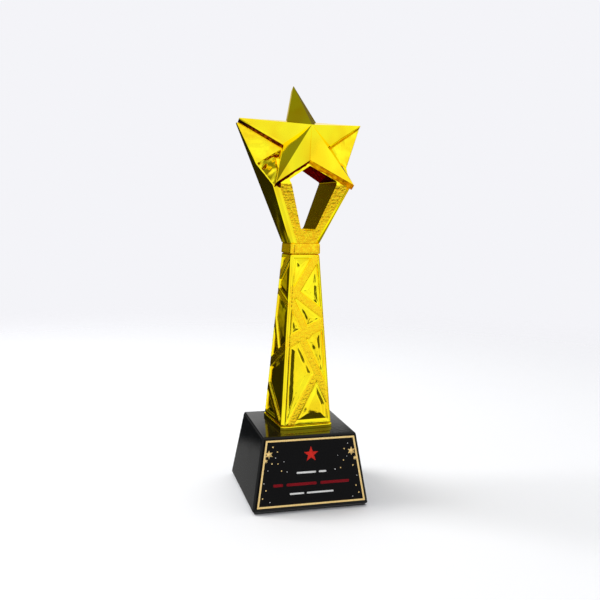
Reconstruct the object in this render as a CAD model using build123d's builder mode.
"""Star trophy: a gold-plated figure, a banded column that carries a five-pointed star, on a black base.

Frame: millimetres, +Z up, the front faces -Y, origin at the centre of the face that it rests on.
The figure is hollow mouldings clamped to the base by one tie rod that runs from a nut in the
base's underside, up through the column, to a brass insert in the neck.
"""

from math import atan2, cos, degrees, radians, sin
import os

from build123d import *

# ---- Driving dimensions ------------------------------------------------------------------------

# Base block, felt and the plate on its front
base_bottom = 84.0
base_top = 68.0
base_height = 52.0
base_edge_radius = 1.6
felt_thickness = 1.5
felt_inset = 1.5
plate_side_margin = 1.9
plate_top_margin = 1.6
plate_bottom_margin = 2.6
plate_thickness = 1.0
tape_thickness = 0.3
tape_inset = 3.0
border_inset = 0.5
border_width = 1.25
border_thickness = 0.1

# Tapered column, in two half shells
column_y = 2.0
column_bottom_width = 38.6
column_bottom_depth = 43.0
column_top_width = 22.4
column_top_depth = 23.4
column_top_z = 177.0
column_wall = 2.6
column_corner_radius = 3.4
column_lid = 4.0
panel_depth = 0.8
panel_border = 3.2

# Foot plate under the column
foot_thickness = 2.5
foot_overhang = 0.5
foot_boss_height = 3.0

# Collar and head: two splayed legs, a shield behind the star and a window between the legs
collar_height = 7.5
collar_proud = 0.4
neck_width = 22.0
neck_front = 11.5
neck_back = 10.5
spigot_side = 12.0
spigot_length = 12.5
head_draft = 1.5  # degrees, widening to the front
leg_chamfer = 3.2
window_half_width = 17.5
window_top_drop = 1.0  # below the star's edge
window_low_half_width = 5.0
window_low_z = 198.0
window_corner_radius = 1.2
window_foot_radius = 4.6
web_fold_y = 2.0
web_fold_z = 239.5
web_set_back = 1.0

# Degrees that the figure stands askew on its base, about the tie rod
figure_turn = 5.0

# Star, which leans back
star_radius = 49.3
star_lean = 34.5
star_y = -3.2
star_z = 258.2
star_peak = 15.0
star_rim = 5.0
star_seat = 2.5
star_wall = 2.0
star_cover_thickness = 1.5
star_cover_ledge = 1.2

# Service pocket in the back of the head, with its cover
pocket_wall = 3.0
pocket_half_width = 14.0
pocket_bottom_z = 246.0
pocket_top_z = 262.0
cover_lap = 3.0
cover_thickness = 2.0

# Fasteners
rod_radius = 3.0
rod_tail = 1.5
rod_engagement = 12.0
insert_radius = 4.5
insert_length = 15.0
nut_across_flats = 10.0
nut_height = 5.0
plain_washer_radius = 9.0
plain_washer_thickness = 1.6
lock_washer_radius = 5.4
lock_washer_thickness = 1.6
lock_washer_gap = 1.2
recess_radius = 12.0
pin_radius = 2.0
pin_length = 9.0
pin_depth_in_foot = 4.0
pin_spacing = 24.0
peg_radius = 1.5
peg_length = 10.0
peg_boss_radius = 3.0
peg_boss_length = 13.0
peg_boss_sink = 1.0
peg_shares = (0.21, 0.76)  # of the way up the column
screw_radius = 1.25
screw_head_radius = 2.8
screw_head_height = 2.0
screw_length = 10.0
screw_spacing = 15.0
screw_up = 2.0
screw_boss_radius = 3.0

# Clearances
fit = 0.1  # between pieces that locate each other
thread_gap = 0.05  # radial, where a thread is drawn as a plain cylinder
hole_gap = 0.3  # radial, where a fastener passes through

# Raised bands on the column. Each runs straight between two points of one face, given as
# (distance across the face from its middle, height), and has a width. Across is +X on the front
# and back faces and +Y from the column's middle on the side faces. Bands that meet at a corner
# of the column share its height there.
column_bands = {
    "front": (
        ((9.5, 177.0), (-9.5, 148.0), 5.6),
        ((-11.0, 152.0), (14.5, 132.5), 5.4),
        ((-11.8, 145.5), (1.0, 119.0), 4.8),
        ((-16.0, 113.5), (16.0, 129.0), 7.2),
        ((-3.6, 117.0), (18.4, 69.5), 5.6),
        ((6.0, 88.5), (-13.5, 54.0), 5.2),
    ),
    "left": (
        ((-10.0, 179.0), (13.0, 158.0), 5.0),
        ((15.0, 150.0), (-14.0, 140.0), 4.2),
        ((17.0, 133.0), (0.0, 103.0), 4.6),
        ((-17.0, 113.5), (20.0, 92.0), 6.2),
        ((22.0, 80.0), (-18.0, 52.0), 5.2),
    ),
    "right": (
        ((-10.0, 178.0), (13.0, 154.0), 5.0),
        ((-14.0, 132.0), (15.0, 149.0), 4.6),
        ((-15.0, 129.0), (19.0, 101.0), 6.2),
        ((2.0, 114.0), (-19.0, 69.0), 5.0),
        ((20.0, 90.0), (-4.0, 52.0), 5.2),
    ),
    "back": (
        ((10.0, 150.0), (-9.0, 178.0), 5.4),
        ((-14.0, 133.0), (11.5, 150.0), 5.2),
        ((14.0, 132.0), (-16.0, 92.0), 6.2),
        ((-17.0, 80.0), (16.0, 101.0), 5.6),
        ((17.0, 92.0), (2.0, 52.0), 5.2),
    ),
}

# ---- Sizes worked out from them ----------------------------------------------------------------

foot_top_z = base_height + foot_thickness
head_bottom_z = column_top_z + collar_height
head_front_y = column_y - neck_front
head_back_y = column_y + neck_back
front_slope = degrees(atan2((base_bottom - base_top) / 2, base_height - felt_thickness))
recess_top_z = (
    felt_thickness + rod_tail + 2.0 + nut_height + lock_washer_thickness + plain_washer_thickness
)
star_inner_radius = star_radius * sin(radians(18)) / sin(radians(54))
star_inscribed = star_radius * sin(radians(18))
facet_angle = atan2(star_peak, star_inscribed)
facet_gap = star_wall / sin(facet_angle)
cavity_scale = 1 - facet_gap / star_inscribed
cover_scale = cavity_scale + star_cover_ledge / star_inscribed

# The star's plane: +x across, +y up the star, +z out of its face.
star_plane = Plane(
    origin=(0, star_y, star_z),
    x_dir=(1, 0, 0),
    z_dir=(0, -cos(radians(star_lean)), sin(radians(star_lean))),
)


def star_points(scale=1.0):
    """The ten corners of the star's outline, from the top point round to the left."""
    radii = (star_radius * scale, star_inner_radius * scale)
    angles = [radians(90 + 36 * i) for i in range(10)]
    return [(radii[i % 2] * cos(a), radii[i % 2] * sin(a)) for i, a in enumerate(angles)]


def star_corner(index, depth):
    """Corner number index of the star's outline, depth behind the rim's front, in the part's frame."""
    x, y = star_points()[index]
    return star_plane.from_local_coords(Vector(x, y, -depth))


# Corners of the right half: 9 is the notch beside the top point, 8 the upper side point.
upper_tip = star_corner(8, star_rim)
side_notch = star_corner(7, star_rim + web_set_back)
lower_tip = star_corner(6, star_rim)
bottom_notch = star_corner(5, star_rim)
flare = (upper_tip.X - neck_width / 2) / (upper_tip.Z - head_bottom_z)


def head_half_width(z):
    """Half the head's width at height z, along its straight splayed sides."""
    return neck_width / 2 + flare * (z - head_bottom_z)


def column_size(z):
    """The column's outer width and depth at height z."""
    share = (z - foot_top_z) / (column_top_z - foot_top_z)
    return (
        column_bottom_width + share * (column_top_width - column_bottom_width),
        column_bottom_depth + share * (column_top_depth - column_bottom_depth),
    )


os.makedirs("parts", exist_ok=True)

# ---- Base --------------------------------------------------------------------------------------

with BuildPart() as base_block:
    with BuildSketch(Plane.XY.offset(felt_thickness)):
        Rectangle(base_bottom, base_bottom)
    with BuildSketch(Plane.XY.offset(base_height)):
        Rectangle(base_top, base_top)
    loft()
    underside = base_block.faces().sort_by(Axis.Z)[0]
    fillet(base_block.edges() - underside.edges(), base_edge_radius)
    with Locations((0, column_y, felt_thickness)):
        Cylinder(
            recess_radius,
            recess_top_z - felt_thickness,
            align=(Align.CENTER, Align.CENTER, Align.MIN),
            mode=Mode.SUBTRACT,
        )
        Cylinder(
            rod_radius + hole_gap,
            base_height,
            align=(Align.CENTER, Align.CENTER, Align.MIN),
            mode=Mode.SUBTRACT,
        )
    with BuildSketch(Plane.XY.offset(base_height)):
        with Locations((0, column_y)):
            with PolarLocations(pin_spacing / 2, 2, start_angle=figure_turn):
                Circle(pin_radius + thread_gap)
    extrude(amount=-(pin_length - pin_depth_in_foot), mode=Mode.SUBTRACT)
base_block.part.label = "base_block"

with BuildPart() as felt_pad:
    with BuildSketch():
        RectangleRounded(
            base_bottom - 2 * felt_inset, base_bottom - 2 * felt_inset, base_edge_radius
        )
    extrude(amount=felt_thickness)
felt_pad.part.label = "felt_pad"

# The front face's plane: +x across, +y up the slope, +z out of the base. Its origin is the middle
# of the face's bottom edge.
front_face = Plane(
    origin=(0, -base_bottom / 2, felt_thickness),
    x_dir=(1, 0, 0),
    z_dir=(0, -cos(radians(front_slope)), sin(radians(front_slope))),
)
front_length = (base_height - felt_thickness) / cos(radians(front_slope))


def front_trapezoid(inset):
    """The corners of the plate's outline, inset all round, on the front face's plane."""
    low = plate_bottom_margin + inset
    high = front_length - plate_top_margin - inset
    lean = (base_bottom - base_top) / 2 / front_length
    low_x = base_bottom / 2 - lean * low - plate_side_margin - inset
    high_x = base_bottom / 2 - lean * high - plate_side_margin - inset
    return [(-low_x, low), (low_x, low), (high_x, high), (-high_x, high)]


with BuildPart() as plate_tape:
    with BuildSketch(front_face):
        Polygon(*front_trapezoid(tape_inset), align=None)
    extrude(amount=tape_thickness)
plate_tape.part.label = "plate_tape"

with BuildPart() as name_plate:
    with BuildSketch(front_face.offset(tape_thickness)):
        Polygon(*front_trapezoid(0), align=None)
    extrude(amount=plate_thickness)
name_plate.part.label = "name_plate"

with BuildPart() as plate_border:
    with BuildSketch(front_face.offset(tape_thickness + plate_thickness)):
        Polygon(*front_trapezoid(border_inset), align=None)
        Polygon(*front_trapezoid(border_inset + border_width), align=None, mode=Mode.SUBTRACT)
    extrude(amount=border_thickness)
plate_border.part.label = "plate_border"

# ---- Foot plate and the pins that key it to the base -------------------------------------------

inner_width = column_bottom_width - 2 * column_wall
inner_depth = column_bottom_depth - 2 * column_wall

with BuildPart() as foot_plate:
    with BuildSketch(Plane.XY.offset(base_height)):
        with Locations((0, column_y)):
            RectangleRounded(
                column_bottom_width + 2 * foot_overhang,
                column_bottom_depth + 2 * foot_overhang,
                column_corner_radius,
            )
    extrude(amount=foot_thickness)
    lip = foot_plate.faces().sort_by(Axis.Z)[-1]
    fillet(lip.edges(), foot_overhang)
    boss_gap = 5 * fit
    with BuildSketch(Plane.XY.offset(foot_top_z)):
        with Locations((0, column_y)):
            Rectangle(inner_width - 2 * boss_gap, inner_depth - 2 * boss_gap)
    extrude(amount=foot_boss_height)
    with BuildSketch(Plane.XY.offset(base_height)):
        with Locations((0, column_y)):
            Circle(rod_radius + hole_gap)
    extrude(amount=foot_thickness + foot_boss_height, mode=Mode.SUBTRACT)
    with BuildSketch(Plane.XY.offset(base_height)):
        with Locations((pin_spacing / 2, column_y), (-pin_spacing / 2, column_y)):
            Circle(pin_radius + thread_gap)
    extrude(amount=pin_depth_in_foot, mode=Mode.SUBTRACT)
foot_plate.part.label = "foot_plate"

with BuildPart() as locating_pins:
    with BuildSketch(Plane.XY.offset(base_height + pin_depth_in_foot)):
        with Locations((pin_spacing / 2, column_y), (-pin_spacing / 2, column_y)):
            Circle(pin_radius)
    extrude(amount=-pin_length)
locating_pins.part.label = "locating_pins"

# ---- Column ------------------------------------------------------------------------------------


def face_plane(side):
    """The plane of one face of the column: its origin at the face's foot, +y up, +z outwards."""
    size_index = 0 if side in ("left", "right") else 1
    bottom = (column_bottom_width, column_bottom_depth)[size_index] / 2
    top = (column_top_width, column_top_depth)[size_index] / 2
    rise = atan2(bottom - top, column_top_z - foot_top_z)
    outward = {"front": (0, -1), "back": (0, 1), "left": (-1, 0), "right": (1, 0)}[side]
    across = (0, 1, 0) if size_index == 0 else (1, 0, 0)
    normal = Vector(outward[0] * cos(rise), outward[1] * cos(rise), sin(rise))
    origin = (outward[0] * bottom, column_y + outward[1] * bottom, foot_top_z)
    plane = Plane(origin=origin, x_dir=across, z_dir=normal)
    # On the back and left faces the plane's own +y would point down, so it is turned over.
    flipped = plane.y_dir.Z < 0
    if flipped:
        plane = Plane(origin=origin, x_dir=Vector(*across) * -1, z_dir=normal)
    return plane, rise, -1 if flipped else 1


def panel_sketch(side, bands):
    """The smooth panels of one face of the column: the face inside its border, less its bands."""
    plane, rise, mirror = face_plane(side)
    size_index = 1 if side in ("left", "right") else 0
    height = (column_top_z - foot_top_z) / cos(rise)
    low = column_size(foot_top_z)[size_index] / 2 - panel_border
    high = column_size(column_top_z)[size_index] / 2 - panel_border
    with BuildSketch(plane) as panels:
        Polygon(
            (-low, panel_border),
            (low, panel_border),
            (high, height - panel_border),
            (-high, height - panel_border),
            align=None,
        )
        for start, end, width in bands:
            x0, y0 = mirror * start[0], (start[1] - foot_top_z) / cos(rise)
            x1, y1 = mirror * end[0], (end[1] - foot_top_z) / cos(rise)
            with Locations(Location(((x0 + x1) / 2, (y0 + y1) / 2))):
                Rectangle(
                    Vector(x1 - x0, y1 - y0).length + width / 2,
                    width,
                    rotation=degrees(atan2(y1 - y0, x1 - x0)),
                    mode=Mode.SUBTRACT,
                )
    return panels.sketch


with BuildPart() as column:
    with BuildSketch(Plane.XY.offset(foot_top_z)):
        with Locations((0, column_y)):
            Rectangle(column_bottom_width, column_bottom_depth)
    with BuildSketch(Plane.XY.offset(column_top_z)):
        with Locations((0, column_y)):
            Rectangle(column_top_width, column_top_depth)
    loft()
    upright = column.edges().filter_by(lambda e: abs(e.tangent_at(0.5).Z) > 0.5)
    fillet(upright, column_corner_radius)
    for side, bands in column_bands.items():
        extrude(panel_sketch(side, bands), amount=-panel_depth, mode=Mode.SUBTRACT)

hollow_top_z = column_top_z - column_lid
peg_heights = [foot_top_z + share * (column_top_z - foot_top_z) for share in peg_shares]
hollow_top_width, hollow_top_depth = (size - 2 * column_wall for size in column_size(hollow_top_z))



def peg_places():
    """Where the pegs lie: on each side wall at each peg height, along the depth."""
    places = []
    for z in peg_heights:
        x = column_size(z)[0] / 2 - column_wall - peg_boss_radius + peg_boss_sink
        places += [Location((side * x, column_y, z), (90, 0, 0)) for side in (-1, 1)]
    return places


with BuildPart() as column_hollow:
    with BuildSketch(Plane.XY.offset(foot_top_z)):
        with Locations((0, column_y)):
            Rectangle(inner_width, inner_depth)
    with BuildSketch(Plane.XY.offset(hollow_top_z)):
        with Locations((0, column_y)):
            Rectangle(hollow_top_width, hollow_top_depth)
    loft()
    # The bosses for the pegs stay solid, and stand on the side walls.
    with Locations(*peg_places()):
        Cylinder(peg_boss_radius, peg_boss_length, mode=Mode.SUBTRACT)

with BuildPart() as column_pegs:
    with Locations(*peg_places()):
        Cylinder(peg_radius, peg_length)
column_pegs.part.label = "column_pegs"

with BuildPart() as column_hollowed:
    add(column.part)
    add(column_hollow.part, mode=Mode.SUBTRACT)
    with BuildSketch(Plane.XY.offset(column_top_z)):
        with Locations((0, column_y)):
            Rectangle(spigot_side + 2 * fit, spigot_side + 2 * fit)
    extrude(amount=-column_lid, mode=Mode.SUBTRACT)
    with Locations(*peg_places()):
        Cylinder(peg_radius + thread_gap, peg_length + 4 * fit, mode=Mode.SUBTRACT)

parting_plane = Plane.XZ.offset(-column_y)

with BuildPart() as column_front_shell:
    add(column_hollowed.part)
    split(bisect_by=parting_plane, keep=Keep.TOP)
column_front_shell.part.label = "column_front_shell"

with BuildPart() as column_back_shell:
    add(column_hollowed.part)
    split(bisect_by=parting_plane, keep=Keep.BOTTOM)
column_back_shell.part.label = "column_back_shell"

# ---- Collar ------------------------------------------------------------------------------------

with BuildPart() as neck_collar:
    with BuildSketch(Plane.XY.offset(column_top_z)):
        with Locations((0, column_y)):
            RectangleRounded(
                column_top_width + 2 * collar_proud,
                column_top_depth + 2 * collar_proud,
                column_corner_radius,
            )
    with BuildSketch(Plane.XY.offset(head_bottom_z)):
        with Locations((0, (head_front_y + head_back_y) / 2)):
            RectangleRounded(
                neck_width + 2 * collar_proud,
                neck_front + neck_back + 2 * collar_proud,
                column_corner_radius,
            )
    loft()
    with BuildSketch(Plane.XY.offset(column_top_z)):
        with Locations((0, column_y)):
            Rectangle(spigot_side + 2 * fit, spigot_side + 2 * fit)
    extrude(amount=collar_height, mode=Mode.SUBTRACT)
neck_collar.part.label = "neck_collar"

# ---- Head frame --------------------------------------------------------------------------------


def web_facet(first, second, side):
    """One facet of the web on one side: a triangle from the notch of the star, run out past it."""
    reach = 1.25
    hub = Vector(side * side_notch.X, side_notch.Y, side_notch.Z)
    corners = [Vector(side * p.X, p.Y, p.Z) for p in (first, second)]
    far = [hub + (corner - hub) * reach for corner in corners]
    return Face(Wire.make_polygon([hub, *far], close=True))


web_fold = Vector(head_half_width(web_fold_z), web_fold_y, web_fold_z)
pocket_plane = star_plane.offset(-(star_rim + pocket_wall))

with BuildPart() as pocket:
    with BuildSketch(Plane.XZ.offset(-head_back_y)):
        with Locations((0, (pocket_bottom_z + pocket_top_z) / 2)):
            Rectangle(2 * pocket_half_width, pocket_top_z - pocket_bottom_z)
    extrude(amount=star_radius)
    split(bisect_by=pocket_plane, keep=Keep.BOTTOM)

cover_bottom_z = pocket_bottom_z - cover_lap
cover_top_z = pocket_top_z + cover_lap
cover_half_width = pocket_half_width + cover_lap

with BuildPart() as star_space:
    with BuildSketch(star_plane.offset(-star_rim)):
        Polygon(*star_points(), align=None)
    extrude(amount=star_rim + star_peak)

leg_rise = Vector(0, lower_tip.Y - head_front_y, lower_tip.Z - head_bottom_z)
seat_front = lower_tip + leg_rise * (star_seat / leg_rise.dot(star_plane.z_dir))

shoulder_root = 2.0
shoulder_half_width = head_half_width(lower_tip.Z) - leg_chamfer
shoulder_along = bottom_notch - lower_tip
shoulder_up = Vector(0, shoulder_along.Y, shoulder_along.Z)
shoulder_corners = [
    lower_tip - star_plane.z_dir * shoulder_root + leg_rise * (shoulder_root / leg_rise.length),
    lower_tip,
    seat_front,
    seat_front + shoulder_up,
    lower_tip - star_plane.z_dir * shoulder_root + shoulder_up,
]

# The tops of the legs stand up against the undersides of the star's lower arms.
with BuildPart() as shoulders:
    with BuildSketch(Plane.YZ):
        Polygon(*[(corner.Y, corner.Z) for corner in shoulder_corners], align=None)
    extrude(amount=shoulder_half_width, both=True)
    add(star_space.part, mode=Mode.SUBTRACT)

with BuildPart() as head_frame:
    # Side profile: the front rises to the star's lower points, the top is the star's back plane.
    with BuildSketch(Plane.YZ):
        Polygon(
            (head_front_y, head_bottom_z),
            (lower_tip.Y, lower_tip.Z),
            (upper_tip.Y, upper_tip.Z),
            (head_back_y, upper_tip.Z),
            (head_back_y, head_bottom_z),
            align=None,
        )
    extrude(amount=star_radius, both=True)
    # Webs between the star's side points: two facets each side, folded along a line.
    for side in (-1, 1):
        for first, second in ((upper_tip, web_fold), (web_fold, lower_tip)):
            facet = web_facet(first, second, side)
            extrude(facet, amount=star_radius, dir=(0, -1, 0), mode=Mode.SUBTRACT)
    # Front outline: straight splayed sides from the neck to the star's upper side points.
    with BuildSketch(Plane.XZ.offset(-head_back_y)):
        Polygon(
            (-head_half_width(head_bottom_z), head_bottom_z),
            (head_half_width(head_bottom_z), head_bottom_z),
            (head_half_width(upper_tip.Z), upper_tip.Z),
            (-head_half_width(upper_tip.Z), upper_tip.Z),
            align=None,
        )
    extrude(amount=star_radius, taper=-head_draft, mode=Mode.INTERSECT)
    leg_edges = [
        e
        for e in head_frame.edges()
        if e.center().Z < lower_tip.Z
        and e.center().Y < (head_front_y + column_y) / 2
        and abs(e.center().X) > neck_width / 2
        and e.length > star_rim
    ]
    chamfer(leg_edges, leg_chamfer)
    add(shoulders.part)
    # Window: its top follows the star's lower edges, and its foot is round.
    window_slope = (bottom_notch.Z - lower_tip.Z) / lower_tip.X
    window_top_z = bottom_notch.Z - window_top_drop
    window_corner_z = window_top_z - window_slope * window_half_width
    with BuildSketch(Plane.XZ):
        with BuildLine():
            FilletPolyline(
                (window_low_half_width, window_low_z - window_foot_radius),
                (window_half_width, window_corner_z),
                (0, window_top_z),
                (-window_half_width, window_corner_z),
                (-window_low_half_width, window_low_z - window_foot_radius),
                radius=(
                    window_foot_radius,
                    window_corner_radius,
                    window_corner_radius,
                    window_corner_radius,
                    window_foot_radius,
                ),
                close=True,
            )
        make_face()
    extrude(amount=star_radius, both=True, mode=Mode.SUBTRACT)
    # Spigot that goes down through the collar into the column's lid.
    with BuildSketch(Plane.XY.offset(head_bottom_z)):
        with Locations((0, column_y)):
            Rectangle(spigot_side, spigot_side)
    extrude(amount=-spigot_length)
    with BuildSketch(Plane.XY.offset(head_bottom_z - spigot_length)):
        with Locations((0, column_y)):
            Circle(insert_radius)
    extrude(amount=insert_length, mode=Mode.SUBTRACT)
    # Pocket for the star's screws, the rebate for its cover, and the screw holes.
    add(pocket.part, mode=Mode.SUBTRACT)
    with BuildSketch(Plane.XZ.offset(-head_back_y)):
        with Locations((0, (cover_bottom_z + cover_top_z) / 2)):
            Rectangle(2 * cover_half_width, cover_top_z - cover_bottom_z)
    extrude(amount=cover_thickness, mode=Mode.SUBTRACT)
    with BuildSketch(pocket_plane):
        with Locations((screw_spacing / 2, screw_up), (-screw_spacing / 2, screw_up)):
            Circle(screw_radius + hole_gap)
    extrude(amount=pocket_wall, mode=Mode.SUBTRACT)
head_frame.part.label = "head_frame"

with BuildPart() as head_back_cover:
    with BuildSketch(Plane.XZ.offset(-head_back_y)):
        with Locations((0, (cover_bottom_z + cover_top_z) / 2)):
            Rectangle(2 * (cover_half_width - fit), cover_top_z - cover_bottom_z - 2 * fit)
    extrude(amount=cover_thickness)
head_back_cover.part.label = "head_back_cover"

# ---- Star --------------------------------------------------------------------------------------

with BuildPart() as star_cavity:
    with BuildSketch(star_plane.offset(-(star_rim - star_cover_thickness))):
        Polygon(*star_points(cavity_scale), align=None)
    extrude(amount=star_rim - star_cover_thickness)
    with BuildSketch(star_plane, mode=Mode.PRIVATE) as cavity_outline:
        Polygon(*star_points(cavity_scale), align=None)
    peak = star_plane.from_local_coords(Vector(0, 0, star_peak - facet_gap))
    loft([cavity_outline.sketch.face(), Vertex(peak.X, peak.Y, peak.Z)], ruled=True)
    # Two bosses for the screws stay solid.
    with BuildSketch(star_plane.offset(-star_rim)):
        with Locations((screw_spacing / 2, screw_up), (-screw_spacing / 2, screw_up)):
            Circle(screw_boss_radius)
    extrude(amount=star_rim + star_peak, mode=Mode.SUBTRACT)

with BuildPart() as star_front:
    with BuildSketch(star_plane.offset(-star_rim)):
        Polygon(*star_points(), align=None)
    extrude(amount=star_rim)
    with BuildSketch(star_plane, mode=Mode.PRIVATE) as star_outline:
        Polygon(*star_points(), align=None)
    peak = star_plane.from_local_coords(Vector(0, 0, star_peak))
    loft([star_outline.sketch.face(), Vertex(peak.X, peak.Y, peak.Z)], ruled=True)
    add(star_cavity.part, mode=Mode.SUBTRACT)
    with BuildSketch(star_plane.offset(-star_rim)):
        Polygon(*star_points(cover_scale), align=None)
    extrude(amount=star_cover_thickness, mode=Mode.SUBTRACT)
    with BuildSketch(star_plane.offset(-star_rim)):
        with Locations((screw_spacing / 2, screw_up), (-screw_spacing / 2, screw_up)):
            Circle(screw_radius + thread_gap)
    extrude(amount=screw_length - pocket_wall + 2 * fit, mode=Mode.SUBTRACT)
star_front.part.label = "star_front"

with BuildPart() as star_back_cover:
    with BuildSketch(star_plane.offset(-star_rim)):
        Polygon(*star_points(cover_scale - fit / star_inscribed), align=None)
        with Locations((screw_spacing / 2, screw_up), (-screw_spacing / 2, screw_up)):
            Circle(screw_radius + hole_gap, mode=Mode.SUBTRACT)
    extrude(amount=star_cover_thickness)
star_back_cover.part.label = "star_back_cover"

with BuildPart() as star_screws:
    with BuildSketch(pocket_plane):
        with Locations((screw_spacing / 2, screw_up), (-screw_spacing / 2, screw_up)):
            Circle(screw_radius)
    extrude(amount=screw_length)
    with BuildSketch(pocket_plane):
        with Locations((screw_spacing / 2, screw_up), (-screw_spacing / 2, screw_up)):
            Circle(screw_head_radius)
    extrude(amount=-screw_head_height)
star_screws.part.label = "star_screws"

# ---- Tie rod and its fixings -------------------------------------------------------------------

with BuildPart() as threaded_insert:
    with BuildSketch(Plane.XY.offset(head_bottom_z - spigot_length)):
        with Locations((0, column_y)):
            Circle(insert_radius - thread_gap)
            Circle(rod_radius + thread_gap, mode=Mode.SUBTRACT)
    extrude(amount=insert_length - fit)
threaded_insert.part.label = "threaded_insert"

rod_top_z = head_bottom_z - spigot_length + rod_engagement
washer_z = recess_top_z - plain_washer_thickness
lock_z = washer_z - lock_washer_thickness
nut_z = lock_z - nut_height

with BuildPart() as tie_rod:
    with BuildSketch(Plane.XY.offset(nut_z - rod_tail)):
        with Locations((0, column_y)):
            Circle(rod_radius)
    extrude(amount=rod_top_z - nut_z + rod_tail)
tie_rod.part.label = "tie_rod"

with BuildPart() as plain_washer:
    with BuildSketch(Plane.XY.offset(washer_z)):
        with Locations((0, column_y)):
            Circle(plain_washer_radius)
            Circle(rod_radius + hole_gap, mode=Mode.SUBTRACT)
    extrude(amount=plain_washer_thickness)
plain_washer.part.label = "plain_washer"

with BuildPart() as lock_washer:
    with BuildSketch(Plane.XY.offset(lock_z)):
        with Locations((0, column_y)):
            Circle(lock_washer_radius)
            Circle(rod_radius + hole_gap, mode=Mode.SUBTRACT)
        with Locations((lock_washer_radius, column_y)):
            Rectangle(2 * lock_washer_radius, lock_washer_gap, mode=Mode.SUBTRACT)
    extrude(amount=lock_washer_thickness)
lock_washer.part.label = "lock_washer"

with BuildPart() as clamp_nut:
    with BuildSketch(Plane.XY.offset(nut_z)):
        with Locations((0, column_y)):
            RegularPolygon(nut_across_flats / 2, 6, major_radius=False)
            Circle(rod_radius + thread_gap, mode=Mode.SUBTRACT)
    extrude(amount=nut_height)
clamp_nut.part.label = "clamp_nut"

# ---- Turn the figure on its base, and write each piece -----------------------------------------

base_pieces = (
    base_block,
    felt_pad,
    name_plate,
    plate_tape,
    plate_border,
    plain_washer,
    lock_washer,
    clamp_nut,
)
figure_pieces = (
    foot_plate,
    locating_pins,
    column_front_shell,
    column_back_shell,
    column_pegs,
    neck_collar,
    head_frame,
    head_back_cover,
    star_front,
    star_back_cover,
    star_screws,
    threaded_insert,
    tie_rod,
)
rod_axis = Axis((0, column_y, 0), (0, 0, 1))

for piece in base_pieces:
    export_step(piece.part, f"parts/{piece.part.label}.step")

for piece in figure_pieces:
    turned = piece.part.rotate(rod_axis, figure_turn)
    turned.label = piece.part.label
    export_step(turned, f"parts/{turned.label}.step")
